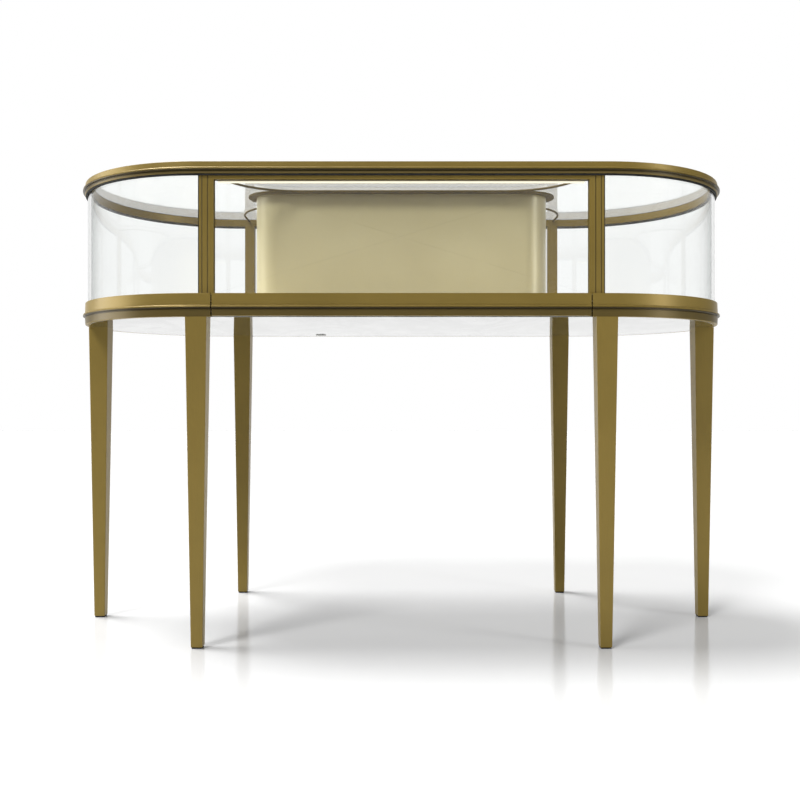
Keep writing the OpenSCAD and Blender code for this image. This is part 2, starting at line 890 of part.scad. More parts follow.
// Magnet block that stops both doors at the middle of the top frame.
module magnetic_catch() {
    color(BLACK) {
        box([-catch_x, frame_y1 - catch_d, door_z1 - catch_drop],
            [catch_x, frame_y1 - catch_gap, ring_z + catch_in]);
        box([-catch_x, frame_y1 - 1, ring_z + 1], [catch_x, frame_y1, ring_z + catch_in]);
    }
}

// ---------- flush bolt ----------

module bolt_guides() {
    color(BRONZE) difference() {
        for (z = [guide_z0, guide_z0 + guide_gap])
            box([-lock_x - guide_x, bolt_y - guide_y, z], [-lock_x + guide_x, frame_y1, z + guide_h]);
        translate([-lock_x, bolt_y, guide_z0 - 1])
            cylinder(r = bolt_r + bolt_play, h = guide_gap + guide_h + 2);
    }
}

module door_bolt() {
    thumb_z = guide_z0 + guide_gap - bolt_thumb_h - bolt_thumb_gap;
    color("silver") {
        translate([-lock_x, bolt_y, bolt_z0]) cylinder(r = bolt_r, h = bolt_len);
        translate([-lock_x, bolt_y, thumb_z]) rotate([90, 0, 0]) translate([0, bolt_thumb_h / 2, 0])
            cylinder(r = bolt_thumb_h / 2, h = bolt_thumb_len);
    }
}

top_frame();
top_glass();
top_gasket();
glass_seals();
curved_glass_left();
curved_glass_right();
front_post_left();
front_post_right();
rear_post_left();
rear_post_right();
front_top_rail();
front_bottom_rail();
front_beads();
front_glass();
led_channel();
led_strip();
led_diffuser();
deck_board();
deck_pad();
core_body();
core_cap();
glass_bumpers();
front_support_bar();
rear_support_bar();
fascia_left();
fascia_right();
fascia_rear();
bottom_panel();
side_frame_left();
side_frame_right();
tie_rails();
leg_front_left();
leg_front_right();
leg_end_left();
leg_end_right();
leg_rear_left();
leg_rear_right();
foot_glides();
frame_bolts();
led_driver();
cable_gland();
fixed_runners();
pivot_bushes();
magnetic_catch();
drawer_front();
drawer_box();
drawer_liner();
moving_runners();
left_hinge_stile();
left_door_glass();
left_lock_stile();
left_knob();
bolt_guides();
door_bolt();
right_hinge_stile();
right_door_glass();
right_lock_stile();
right_knob();
lock_housing();
lock_plug();
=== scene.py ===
"""Glass display showcase with round ends: its looks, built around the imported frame.

Everything is in metres, +X along the length, +Y to the rear and +Z up. Places come from the
frame's own boxes. The small sizes below are those of edges, beads and grain.
"""

import json
import math

import bmesh
import bpy
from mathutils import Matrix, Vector

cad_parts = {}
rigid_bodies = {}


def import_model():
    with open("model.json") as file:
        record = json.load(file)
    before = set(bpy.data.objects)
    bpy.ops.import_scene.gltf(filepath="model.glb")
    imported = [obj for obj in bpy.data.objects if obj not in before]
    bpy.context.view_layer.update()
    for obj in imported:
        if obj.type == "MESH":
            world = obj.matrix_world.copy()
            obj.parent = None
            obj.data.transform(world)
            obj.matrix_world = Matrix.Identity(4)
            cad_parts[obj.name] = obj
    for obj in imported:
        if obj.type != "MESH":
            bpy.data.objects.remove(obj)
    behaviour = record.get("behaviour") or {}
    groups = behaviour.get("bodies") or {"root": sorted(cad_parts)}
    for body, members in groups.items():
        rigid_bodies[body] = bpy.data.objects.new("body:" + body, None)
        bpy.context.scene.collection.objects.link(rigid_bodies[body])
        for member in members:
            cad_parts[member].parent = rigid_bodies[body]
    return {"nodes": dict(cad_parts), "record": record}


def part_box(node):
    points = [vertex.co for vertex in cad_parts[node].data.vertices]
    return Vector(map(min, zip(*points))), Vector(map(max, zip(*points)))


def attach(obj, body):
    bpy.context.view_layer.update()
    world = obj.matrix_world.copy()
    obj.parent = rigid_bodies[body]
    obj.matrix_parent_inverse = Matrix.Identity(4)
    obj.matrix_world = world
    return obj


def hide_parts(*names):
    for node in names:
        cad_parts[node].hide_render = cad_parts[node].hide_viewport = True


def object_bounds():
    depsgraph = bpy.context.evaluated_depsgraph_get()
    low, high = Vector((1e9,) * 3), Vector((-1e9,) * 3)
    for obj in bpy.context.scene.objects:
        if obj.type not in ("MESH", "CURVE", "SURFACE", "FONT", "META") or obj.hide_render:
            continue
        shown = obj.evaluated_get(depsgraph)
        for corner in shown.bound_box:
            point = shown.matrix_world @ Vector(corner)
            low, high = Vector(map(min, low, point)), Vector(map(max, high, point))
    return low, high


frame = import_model()
cad_lo, cad_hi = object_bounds()

RECORD = frame["record"]
BODY = {node: body for body, nodes in RECORD["behaviour"]["bodies"].items() for node in nodes}

# The plan of the case: a straight middle between two half circles.
END_R = (cad_hi.y - cad_lo.y) / 2
STRAIGHT = (cad_hi.x - cad_lo.x) / 2 - END_R
END_STEPS = 72

# The moulding's section: distances in from the bead's outline, and heights.
BAND_IN = 0.004
GLASS_IN = 0.010
BENT_GLASS_T = 0.008
COVE_H = 0.003
NOSE_OUT = 0.001
BEAD_STEPS = 8
LINE_H = 0.0026
LINE_DEPTH = 0.0007
BASE_BEAD_H = 0.003
BASE_BEAD_DROP = 0.029
TOP_BEAD_H = 0.0028
TOP_BEAD_DROP = 0.0166
SEAT_T = 0.001

# Rounded edges. Corners that turn by less than LEAST_TURN degrees are left as they are, and edges
# that turn by more than SHARP stay creases.
EDGE = 0.0006
FINE_EDGE = 0.0003
PANE_EDGE = 0.0008
FLAT_PANE_EDGE = 0.0007
PAD_EDGE = 0.0009
LINER_EDGE = 0.001
LINER_CORNER = 0.002
CORNER_STEPS = 3
LEAST_TURN = 25
SHARP = math.radians(38)


# ---------- camera ----------

CAMERA_AT = (-0.003, -2.170, 0.486)
LENS_MM = 43.44
SENSOR_MM = 36


def make_camera():
    """A level view from the front, from about half the height of the case."""
    data = bpy.data.cameras.new("camera")
    data.sensor_width = SENSOR_MM
    data.lens = LENS_MM
    camera = bpy.data.objects.new("camera", data)
    camera.location = CAMERA_AT
    camera.rotation_euler = (math.pi / 2, 0, 0)
    bpy.context.scene.collection.objects.link(camera)
    bpy.context.scene.camera = camera


# ---------- outlines and surfaces ----------

def soften(points, radius):
    """Rounds the sharp corners of a closed outline."""
    out = []
    for i, corner in enumerate(points):
        before = Vector(points[i - 1]) - Vector(corner)
        after = Vector(points[(i + 1) % len(points)]) - Vector(corner)
        turn = 180 - math.degrees(before.angle(after))
        cut = min(radius, 0.45 * before.length, 0.45 * after.length)
        if turn < LEAST_TURN:
            out.append(tuple(corner))
            continue
        start = Vector(corner) + before.normalized() * cut
        end = Vector(corner) + after.normalized() * cut
        for s in range(CORNER_STEPS + 1):
            t = s / CORNER_STEPS
            point = start * (1 - t) ** 2 + Vector(corner) * 2 * t * (1 - t) + end * t ** 2
            out.append(tuple(point))
    return out


def offset(points, distance):
    """A closed outline, drawn counter-clockwise, moved inwards."""
    out = []
    for i, point in enumerate(points):
        p = Vector(point)
        a = (p - Vector(points[i - 1])).normalized()
        b = (Vector(points[(i + 1) % len(points)]) - p).normalized()
        inward = Vector((-a.y - b.y, a.x + b.x))
        scale = 2 * distance / max(inward.length_squared, 0.5)
        out.append(tuple(p + inward * scale))
    return out


def rectangle(x0, y0, x1, y1):
    return [(x0, y0), (x1, y0), (x1, y1), (x0, y1)]


def stadium(half, r, steps=END_STEPS):
    """A slot with round ends, counter-clockwise."""
    out = []
    for side in (1, -1):
        for i in range(steps + 1):
            a = side * (-math.pi / 2) + math.pi * i / steps
            out.append((side * half + r * math.cos(a), r * math.sin(a)))
    return out


def skin(rings, closed=False):
    """A surface through rings of points. Open ends get a cap."""
    bm = bmesh.new()
    rows = [[bm.verts.new(p) for p in ring] for ring in rings]
    pairs = list(zip(rows, rows[1:]))
    if closed:
        pairs.append((rows[-1], rows[0]))
    for a, b in pairs:
        for i in range(len(a)):
            j = (i + 1) % len(a)
            bm.faces.new((a[i], a[j], b[j], b[i]))
    if not closed:
        bm.faces.new(rows[0])
        bm.faces.new(rows[-1])
    bmesh.ops.recalc_face_normals(bm, faces=bm.faces)
    return bm


def merged(*meshes):
    """Several surfaces as one."""
    whole = meshes[0]
    for other in meshes[1:]:
        scratch = bpy.data.meshes.new("scratch")
        other.to_mesh(scratch)
        other.free()
        whole.from_mesh(scratch)
        bpy.data.meshes.remove(scratch)
    return whole


def plate(outline, z0, z1, edge, steps=CORNER_STEPS):
    """An upright prism whose top and bottom edges are rounded."""
    low = []
    high = []
    for i in range(steps + 1):
        a = math.pi / 2 * i / steps
        low.append((edge * (1 - math.sin(a)), z0 + edge * (1 - math.cos(a))))
        high.append((edge * (1 - math.cos(a)), z1 - edge * (1 - math.sin(a))))
    rings = [[(x, y, z) for x, y in offset(outline, inset)] for inset, z in low + high]
    return skin(rings)


def upright_pane(lo, hi, edge):
    """A flat pane with rounded edges, drawn lying down and then stood up across Y."""
    bm = plate(soften(rectangle(lo.z, lo.x, hi.z, hi.x), edge), lo.y, hi.y, edge)
    for v in bm.verts:
        v.co = (v.co.y, v.co.z, v.co.x)
    bmesh.ops.recalc_face_normals(bm, faces=bm.faces)
    return bm


def end_stations(side, from_x=None):
    """Points and outward directions round one end, from the front to the rear."""
    out = []
    for i in range(END_STEPS + 1):
        a = -math.pi / 2 + math.pi * i / END_STEPS
        nx = side * math.cos(a)
        ny = math.sin(a)
        out.append((side * STRAIGHT + END_R * nx, END_R * ny, nx, ny))
    if from_x is not None:
        out.insert(0, (side * from_x, -END_R, 0, -1))
        out.append((side * from_x, END_R, 0, 1))
    return out


def ring_stations():
    """Stations all round the case."""
    return end_stations(1) + end_stations(-1)[::-1]


def straight_stations(side, x0, x1):
    """Two stations on the straight part of the front or the rear."""
    return [(x0, side * END_R, 0, side), (x1, side * END_R, 0, side)]


def sweep(stations, section, closed=False):
    """Carries a section of (distance in, height) points along the stations."""
    rings = [[(x - nx * d, y - ny * d, z) for d, z in section] for x, y, nx, ny in stations]
    return skin(rings, closed)


def tube(path, radius):
    """A round bar along a path in one level plane."""
    sides = 24
    rings = []
    for i, point in enumerate(path):
        before = Vector(path[max(i - 1, 0)])
        after = Vector(path[min(i + 1, len(path) - 1)])
        across = (after - before).normalized().cross(Vector((0, 0, 1)))
        ring = []
        for s in range(sides):
            a = 2 * math.pi * s / sides
            ring.append(Vector(point) + across * radius * math.cos(a) + Vector((0, 0, radius * math.sin(a))))
        rings.append(ring)
    return skin(rings)


def softened_copy(node, width=FINE_EDGE):
    """The node's own shape with its sharp edges eased."""
    same_point = 2e-6
    same_plane = math.radians(0.5)
    bm = bmesh.new()
    bm.from_mesh(frame["nodes"][node].data)
    bmesh.ops.remove_doubles(bm, verts=bm.verts, dist=same_point)
    bmesh.ops.dissolve_limit(bm, angle_limit=same_plane, verts=bm.verts, edges=bm.edges)
    edges = [e for e in bm.edges if len(e.link_faces) == 2 and e.calc_face_angle() > SHARP]
    bmesh.ops.bevel(bm, geom=edges, offset=width, segments=2, profile=0.5, affect="EDGES", clamp_overlap=True)
    bmesh.ops.recalc_face_normals(bm, faces=bm.faces)
    return bm


def place(name, bm, materials, *nodes):
    """Makes a piece that stands for the nodes and moves with their body."""
    mesh = bpy.data.meshes.new(name)
    bm.to_mesh(mesh)
    bm.free()
    for material in materials if isinstance(materials, (list, tuple)) else [materials]:
        mesh.materials.append(material)
    mesh.shade_smooth()
    mesh.set_sharp_from_angle(angle=SHARP)
    piece = bpy.data.objects.new(name, mesh)
    bpy.context.scene.collection.objects.link(piece)
    normals = piece.modifiers.new("normals", "WEIGHTED_NORMAL")
    normals.keep_sharp = True
    normals.weight = 90
    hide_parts(*nodes)
    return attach(piece, BODY[nodes[0]])


# ---------- materials ----------

class Look:
    """A material being made: a Principled shader and the textures that feed it."""

    def __init__(self, name, **sockets):
        self.material = bpy.data.materials.new(name)
        self.material.use_nodes = True
        self.tree = self.material.node_tree
        self.shader = self.tree.nodes["Principled BSDF"]
        for key, value in sockets.items():
            self.shader.inputs[key.replace("_", " ").title().replace("Ior", "IOR")].default_value = value

    def node(self, kind, **inputs):
        node = self.tree.nodes.new(kind)
        for key, value in inputs.items():
            socket = node.inputs[key.replace("_", " ").title()]
            if hasattr(value, "is_output"):
                self.tree.links.new(value, socket)
            else:
                socket.default_value = value
        return node

    def coordinates(self, scale):
        """The place on the piece, stretched by the given scale along X, Y and Z."""
        source = self.node("ShaderNodeTexCoord").outputs["Object"]
        mapping = self.node("ShaderNodeMapping", vector=source, scale=scale)
        return mapping.outputs["Vector"]

    def noise(self, scale, detail=3, roughness=0.55, distortion=0.0):
        node = self.node("ShaderNodeTexNoise", vector=self.coordinates(scale), scale=1.0,
                         detail=detail, roughness=roughness, distortion=distortion)
        return node.outputs["Fac"]

    def bands(self, scale, direction, distortion=0.0):
        node = self.node("ShaderNodeTexWave", vector=self.coordinates(scale), scale=1.0,
                         distortion=distortion, detail=2.0)
        node.bands_direction = direction
        return node.outputs["Fac"]

    def remap(self, value, low, high, from_low=0.3, from_high=0.7):
        node = self.tree.nodes.new("ShaderNodeMapRange")
        self.tree.links.new(value, node.inputs["Value"])
        limits = {"From Min": from_low, "From Max": from_high, "To Min": low, "To Max": high}
        for key, number in limits.items():
            node.inputs[key].default_value = number
        return node.outputs["Result"]

    def math(self, operation, a, b):
        node = self.tree.nodes.new("ShaderNodeMath")
        node.operation = operation
        for socket, value in zip(node.inputs, (a, b)):
            if hasattr(value, "is_output"):
                self.tree.links.new(value, socket)
            else:
                socket.default_value = value
        return node.outputs["Value"]

    def shades(self, value, *stops):
        """Colours along a ramp: (place, colour) pairs."""
        node = self.tree.nodes.new("ShaderNodeValToRGB")
        self.tree.links.new(value, node.inputs["Fac"])
        ramp = node.color_ramp
        while len(ramp.elements) < len(stops):
            ramp.elements.new(1.0)
        for element, (at, colour) in zip(ramp.elements, stops):
            element.position = at
            element.color = (*colour, 1)
        return node.outputs["Color"]

    def feed(self, socket, output):
        self.tree.links.new(output, self.shader.inputs[socket])

    def bump(self, height, strength, distance):
        node = self.node("ShaderNodeBump", height=height, strength=strength, distance=distance)
        self.feed("Normal", node.outputs["Normal"])


BRONZE = (0.222, 0.155, 0.034)
GLASS_TINT = (0.985, 0.995, 0.99)
RIM_TINT = (0.70, 0.72, 0.71)

# How the bronze's grain is stretched: level lines, upright lines, and even grain on turned parts.
ALONG = (14, 14, 2600)
UPRIGHT = (2300, 2300, 11)
TURNED = (700, 700, 700)

# Tones of the bronze against its full colour, as darker copies of one bronze that paint in shade. The lower
# band's tone is painted shade under the bead.
LOW_BAND_SHADE_TONE = 0.44
# Painted shadow under the bead, in the shadow line and on the deck's edge.
PAINTED_SHADOW_TONE = 0.20
# Painted shade on the cap and the support bars inside the case, with a duller gloss.
DULL_SHADE_TONE = 0.50
# Painted shade on the door stiles and in the posts' grooves.
STILE_SHADE_TONE = 0.42


def tinted(colour, share):
    return tuple(c * share for c in colour)


def bronze(name, stretch, tone=1.0, metallic=0.32, gloss=0.35):
    """Satin bronze plating, brushed along the given stretch, with faint patches of handling."""
    look = Look(name, metallic=metallic, specular_ior_level=gloss)
    grain = look.noise(stretch, detail=4, roughness=0.6)
    patches = look.noise((5, 5, 5), detail=3)
    mixed = look.math("ADD", look.math("MULTIPLY", grain, 0.55), look.math("MULTIPLY", patches, 0.45))
    base = tinted(BRONZE, tone)
    colour = look.shades(mixed, (0.30, tinted(base, 0.86)), (0.50, base), (0.72, tinted(base, 1.10)))
    look.feed("Base Color", colour)
    look.feed("Roughness", look.remap(mixed, 0.30, 0.44))
    look.bump(grain, 0.14, 0.0001)
    return look.material


def lacquer(name):
    """Satin champagne lacquer with a faint pearl and a trace of orange peel."""
    look = Look(name, specular_ior_level=0.55, coat_weight=0.35, coat_roughness=0.30, metallic=0.12)
    pearl = look.noise((900, 900, 900), detail=2)
    patches = look.noise((7, 7, 7), detail=3)
    mixed = look.math("ADD", look.math("MULTIPLY", pearl, 0.5), look.math("MULTIPLY", patches, 0.5))
    colour = look.shades(mixed, (0.32, (0.53, 0.46, 0.25)), (0.52, (0.58, 0.505, 0.285)),
                         (0.70, (0.62, 0.55, 0.325)))
    look.feed("Base Color", colour)
    look.feed("Roughness", look.remap(patches, 0.30, 0.40))
    look.bump(look.noise((260, 260, 260), detail=2), 0.05, 0.0002)
    return look.material


def glass(name, tint, rim=None):
    """Clear glass. It lets lamps through, so that the case isn't dark inside.

    Bent panes are looked through lengthwise at their outline, where the glass takes on its own tint.
    """
    look = Look(name, base_color=(*tint, 1), transmission_weight=1.0, ior=1.5)
    if rim:
        facing = look.node("ShaderNodeLayerWeight", blend=0.5).outputs["Facing"]
        look.feed("Base Color", look.shades(facing, (0.60, tint), (0.86, rim)))
    film = look.noise((16, 16, 16), detail=4)
    look.feed("Roughness", look.remap(film, 0.0, 0.012))
    path = look.tree.nodes.new("ShaderNodeLightPath")
    clear = look.tree.nodes.new("ShaderNodeBsdfTransparent")
    clear.inputs["Color"].default_value = (*tint, 1)
    either = look.tree.nodes.new("ShaderNodeMixShader")
    look.tree.links.new(path.outputs["Is Shadow Ray"], either.inputs[0])
    look.tree.links.new(look.shader.outputs["BSDF"], either.inputs[1])
    look.tree.links.new(clear.outputs["BSDF"], either.inputs[2])
    look.tree.links.new(either.outputs["Shader"], look.tree.nodes["Material Output"].inputs["Surface"])
    return look.material


def rubber(name):
    """Black rubber with a trace of dust."""
    black = (0.012, 0.012, 0.011)
    look = Look(name, specular_ior_level=0.12)
    dust = look.noise((120, 120, 120), detail=4)
    look.feed("Base Color", look.shades(dust, (0.35, black), (0.75, tinted(black, 2.4))))
    look.feed("Roughness", look.remap(dust, 0.55, 0.75))
    look.bump(look.noise((1500, 1500, 1500)), 0.15, 0.0001)
    return look.material


def moulded(name, colour):
    """Moulded plastic with a fine spark texture."""
    look = Look(name, specular_ior_level=0.45)
    spark = look.noise((1100, 1100, 1100), detail=2)
    wear = look.noise((30, 30, 30), detail=3)
    look.feed("Base Color", look.shades(wear, (0.3, tinted(colour, 0.9)), (0.7, colour)))
    look.feed("Roughness", look.remap(wear, 0.42, 0.54))
    look.bump(spark, 0.12, 0.0001)
    return look.material


def powder_coat(name):
    """Near-black powder coat with orange peel."""
    look = Look(name, specular_ior_level=0.5)
    peel = look.noise((520, 520, 520), detail=2)
    wear = look.noise((22, 22, 22), detail=3)
    look.feed("Base Color", look.shades(wear, (0.35, (0.016, 0.016, 0.017)), (0.75, (0.035, 0.035, 0.036))))
    look.feed("Roughness", look.remap(wear, 0.40, 0.55))
    look.bump(peel, 0.25, 0.0002)
    return look.material


def zinc(name):
    """Bright zinc with the soft spangle of plated steel."""
    look = Look(name, metallic=1.0)
    cells = look.node("ShaderNodeTexVoronoi", vector=look.coordinates((240, 240, 240)), scale=1.0)
    film = look.noise((60, 60, 60), detail=3)
    look.feed("Base Color", look.shades(film, (0.3, (0.52, 0.53, 0.52)), (0.7, (0.66, 0.66, 0.63))))
    look.feed("Roughness", look.remap(cells.outputs["Distance"], 0.20, 0.36, 0.0, 0.8))
    look.bump(look.noise((900, 900, 900)), 0.08, 0.0001)
    return look.material


def aluminium(name):
    """Satin aluminium with its grain along the bar."""
    look = Look(name, metallic=1.0)
    grain = look.noise((10, 1500, 1500), detail=3)
    look.feed("Base Color", look.shades(grain, (0.3, (0.60, 0.61, 0.61)), (0.7, (0.74, 0.74, 0.73))))
    look.feed("Roughness", look.remap(grain, 0.26, 0.38))
    look.bump(grain, 0.1, 0.0001)
    return look.material


def marbled(name):
    """High-gloss pale panel with faint veins that run aslant."""
    look = Look(name, metallic=0.95, specular_ior_level=0.5)
    slant = look.noise((5.0, 2.2, 5.0), detail=6, roughness=0.62, distortion=1.8)
    vein = look.math("ABSOLUTE", look.math("SUBTRACT", slant, 0.5), 0.0)
    veins = look.shades(vein, (0.0, (0.31, 0.32, 0.305)), (0.05, (0.42, 0.43, 0.415)),
                        (0.16, (0.50, 0.51, 0.49)))
    look.feed("Base Color", veins)
    look.feed("Roughness", look.remap(look.noise((6, 6, 6), detail=4), 0.02, 0.06))
    return look.material


def plywood(name):
    """Varnished birch with long grain."""
    look = Look(name, specular_ior_level=0.45, coat_weight=0.2, coat_roughness=0.3)
    rings = look.bands((3, 26, 26), "Y", distortion=5.0)
    fibre = look.noise((30, 900, 900), detail=4)
    mixed = look.math("ADD", look.math("MULTIPLY", rings, 0.6), look.math("MULTIPLY", fibre, 0.4))
    colour = look.shades(mixed, (0.15, (0.40, 0.27, 0.14)), (0.55, (0.58, 0.42, 0.24)),
                         (0.9, (0.68, 0.52, 0.32)))
    look.feed("Base Color", colour)
    look.feed("Roughness", look.remap(fibre, 0.38, 0.52))
    look.bump(fibre, 0.2, 0.0002)
    return look.material


def cloth(name):
    """Short-pile cream cloth with a fine weave under the pile."""
    look = Look(name, specular_ior_level=0.2, sheen_weight=0.45, sheen_roughness=0.4)
    warp = look.bands((700, 0, 0), "X", distortion=1.2)
    weft = look.bands((0, 700, 0), "Y", distortion=1.2)
    weave = look.math("MULTIPLY", warp, weft)
    pile = look.noise((500, 500, 500), detail=4)
    crush = look.noise((9, 9, 9), detail=3)
    tone = look.math("ADD", look.math("MULTIPLY", pile, 0.5), look.math("MULTIPLY", crush, 0.5))
    colour = look.shades(tone, (0.32, (0.56, 0.49, 0.36)), (0.5, (0.66, 0.59, 0.45)),
                         (0.68, (0.74, 0.68, 0.54)))
    look.feed("Base Color", colour)
    look.feed("Roughness", look.remap(pile, 0.82, 0.95))
    look.bump(look.math("ADD", weave, pile), 0.35, 0.0004)
    return look.material


def painted_board(name):
    """Satin cream paint on board."""
    look = Look(name, specular_ior_level=0.45)
    film = look.noise((40, 40, 40), detail=4)
    look.feed("Base Color", look.shades(film, (0.3, (0.58, 0.51, 0.33)), (0.7, (0.67, 0.60, 0.41))))
    look.feed("Roughness", look.remap(film, 0.38, 0.50))
    look.bump(look.noise((380, 380, 380)), 0.08, 0.0002)
    return look.material


def lit_diffuser(name):
    """Frosted strip that glows warm, a little brighter over each lamp."""
    look = Look(name, emission_strength=1.0, roughness=0.5)
    lamps = look.bands((188, 0, 0), "X")
    glow = look.shades(lamps, (0.0, (0.80, 0.74, 0.56)), (1.0, (0.95, 0.90, 0.74)))
    look.feed("Base Color", glow)
    look.feed("Emission Color", glow)
    return look.material


def soft_clear(name):
    """Slightly cloudy clear rubber."""
    look = Look(name, base_color=(0.80, 0.82, 0.80, 1), transmission_weight=0.6, ior=1.42)
    look.feed("Roughness", look.remap(look.noise((200, 200, 200)), 0.12, 0.25))
    return look.material


BRONZE_ALONG = bronze("bronze_along", ALONG)
BRONZE_LOW_BAND_SHADE = bronze("bronze_low_band_painted_shade", ALONG, LOW_BAND_SHADE_TONE)
BRONZE_PAINTED_SHADOW = bronze("bronze_painted_shadow_line", ALONG, PAINTED_SHADOW_TONE)
BRONZE_DULL_SHADE = bronze("bronze_dull_painted_shade", TURNED, DULL_SHADE_TONE, metallic=0.08, gloss=0.10)
BRONZE_STILE_SHADE = bronze("bronze_stile_painted_shade", UPRIGHT, STILE_SHADE_TONE)
BRONZE_UPRIGHT = bronze("bronze_upright", UPRIGHT)
BRONZE_TURNED = bronze("bronze_turned", TURNED)
CLEAR = glass("clear_glass", GLASS_TINT)
BENT_CLEAR = glass("bent_clear_glass", GLASS_TINT, rim=RIM_TINT)
BLACK_RUBBER = rubber("black_rubber")
CREAM_CLOTH = cloth("cream_cloth")
LACQUER = lacquer("champagne_lacquer")
CREAM_BOARD = painted_board("cream_board")
WHITE_PANEL = marbled("white_panel")
FRAME_COAT = powder_coat("frame_powder_coat")
BRIGHT_ZINC = zinc("bright_zinc")
BIRCH = plywood("birch_plywood")
MOULDING = [BRONZE_ALONG, BRONZE_LOW_BAND_SHADE, BRONZE_PAINTED_SHADOW]


# ---------- mouldings ----------

def bead_nose(z0, z1):
    """The rounded nose of the bead, from its underside to its top."""
    middle = (z0 + z1) / 2
    half = (z1 - z0) / 2
    out = []
    for i in range(BEAD_STEPS + 1):
        a = -math.pi / 2 + math.pi * i / BEAD_STEPS
        out.append((NOSE_OUT * (1 - math.cos(a)), middle + half * math.sin(a)))
    return out


def cove(z):
    """The hollow that rises from the bead to the upper band."""
    out = []
    for i in range(1, BEAD_STEPS + 1):
        a = math.pi / 2 * i / BEAD_STEPS
        out.append((BAND_IN * (1 - math.cos(a)), z + COVE_H * math.sin(a)))
    return out


def moulding_face(z0, bead_z, bead_h, z1, lean):
    """The outside of a moulding, from its foot to its top edge, with a shadow line under the bead."""
    line_z = bead_z - LINE_H
    line_in = BAND_IN + LINE_DEPTH
    slope_h = 0.0002
    return ([(BAND_IN + lean, z0), (BAND_IN, line_z - slope_h), (line_in, line_z), (line_in, bead_z)]
            + bead_nose(bead_z, bead_z + bead_h) + cove(bead_z + bead_h) + [(BAND_IN + lean, z1)])


def base_section(z0, z1):
    """Folded skin of the base, with a lip at its top and a flange at its foot."""
    skin_t = 0.002
    skin_in = BAND_IN + skin_t
    lip_in = GLASS_IN - 0.0005
    flange_in = BAND_IN + 0.010
    face = moulding_face(z0, z1 - BASE_BEAD_DROP, BASE_BEAD_H, z1, lean=0.0009)
    inside = [(lip_in, z1), (lip_in, z1 - skin_t), (skin_in, z1 - skin_t),
              (skin_in, z0 + skin_t), (flange_in, z0 + skin_t), (flange_in, z0)]
    return soften(face + inside, EDGE)


def depth_in(point):
    """How far a point lies in from the outline of the case."""
    return END_R - math.hypot(max(abs(point.x) - STRAIGHT, 0), point.y)


def paint_moulding_shade(bm, z0, bead_z, bead_h):
    """Paints shade into the moulding: the lower band takes the second tone as painted shade under the bead,
    and the shadow line with most of the bead takes the third, darkest tone as a painted shadow.
    """
    deepest = BAND_IN + 2 * EDGE
    for face in bm.faces:
        middle = face.calc_center_median()
        z = middle.z
        if depth_in(middle) > deepest:
            continue
        # Painted shadow: the shadow line and most of the bead take the darkest tone.
        if bead_z - LINE_H < z < bead_z + 0.75 * bead_h:
            face.material_index = 2
        # Painted shade: the lower band under the bead takes the darker tone.
        elif z0 + EDGE < z < bead_z and abs(face.normal.z) < 0.5:
            face.material_index = 1


def make_base():
    """The four moulded skins of the base, of which the front one is the drawer's."""
    seam_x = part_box("fascia_right")[0].x
    rear_lo, rear_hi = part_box("fascia_rear")
    front_lo, front_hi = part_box("drawer_front")
    skins = {
        "fascia_left": end_stations(-1, seam_x),
        "fascia_right": end_stations(1, seam_x),
        "fascia_rear": straight_stations(1, rear_lo.x, rear_hi.x),
        "drawer_front": straight_stations(-1, front_lo.x, front_hi.x),
    }
    for node, stations in skins.items():
        lo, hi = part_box(node)
        bm = sweep(stations, base_section(lo.z, hi.z))
        paint_moulding_shade(bm, lo.z, hi.z - BASE_BEAD_DROP, BASE_BEAD_H)
        place(node + "_shell", bm, MOULDING, node)


def make_top_frame():
    """The ring round the top, with a ledge for the top glass and its seat."""
    lo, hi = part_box("top_frame")
    bead_z = hi.z - TOP_BEAD_DROP
    frame_in = BAND_IN + 0.018
    ledge_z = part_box("top_glass")[0].z - SEAT_T
    face = moulding_face(lo.z, bead_z, TOP_BEAD_H, hi.z, lean=0.0012)
    inside = [(GLASS_IN, hi.z), (GLASS_IN, ledge_z), (frame_in, ledge_z), (frame_in, lo.z)]
    bm = sweep(ring_stations(), soften(face + inside, EDGE), closed=True)
    paint_moulding_shade(bm, lo.z, bead_z, TOP_BEAD_H)
    place("top_frame_ring", bm, MOULDING, "top_frame")


def make_top_gasket():
    """Round-edged rubber under the top frame, and the thin seat of the top glass."""
    rubber_in = BAND_IN + 0.002
    rubber_to = GLASS_IN - 0.0001
    rubber_edge = 0.001
    seat_in = GLASS_IN + 0.001
    seat_to = BAND_IN + 0.017
    lo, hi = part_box("top_gasket")
    ring_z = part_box("top_frame")[0].z
    line = soften(rectangle(rubber_in, lo.z, rubber_to, ring_z), rubber_edge)
    seat = soften(rectangle(seat_in, hi.z - SEAT_T, seat_to, hi.z), FINE_EDGE)
    bm = merged(sweep(ring_stations(), line, closed=True), sweep(ring_stations(), seat, closed=True))
    place("top_gasket_strip", bm, BLACK_RUBBER, "top_gasket")


# ---------- glass ----------

def make_glass():
    """The top plate, the two bent panes and the three flat ones."""
    lo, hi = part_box("top_glass")
    place("top_glass_pane", plate(stadium(STRAIGHT, hi.y), lo.z, hi.z, PANE_EDGE), CLEAR, "top_glass")
    for node, side in {"curved_glass_left": -1, "curved_glass_right": 1}.items():
        lo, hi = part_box(node)
        from_x = min(abs(lo.x), abs(hi.x))
        section = soften(rectangle(GLASS_IN, lo.z, GLASS_IN + BENT_GLASS_T, hi.z), PANE_EDGE)
        place(node + "_pane", sweep(end_stations(side, from_x), section), BENT_CLEAR, node)
    for node in ("front_glass", "left_door_glass", "right_door_glass"):
        lo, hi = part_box(node)
        place(node + "_pane", upright_pane(lo, hi, FLAT_PANE_EDGE), CLEAR, node)


# ---------- posts, rails and legs ----------

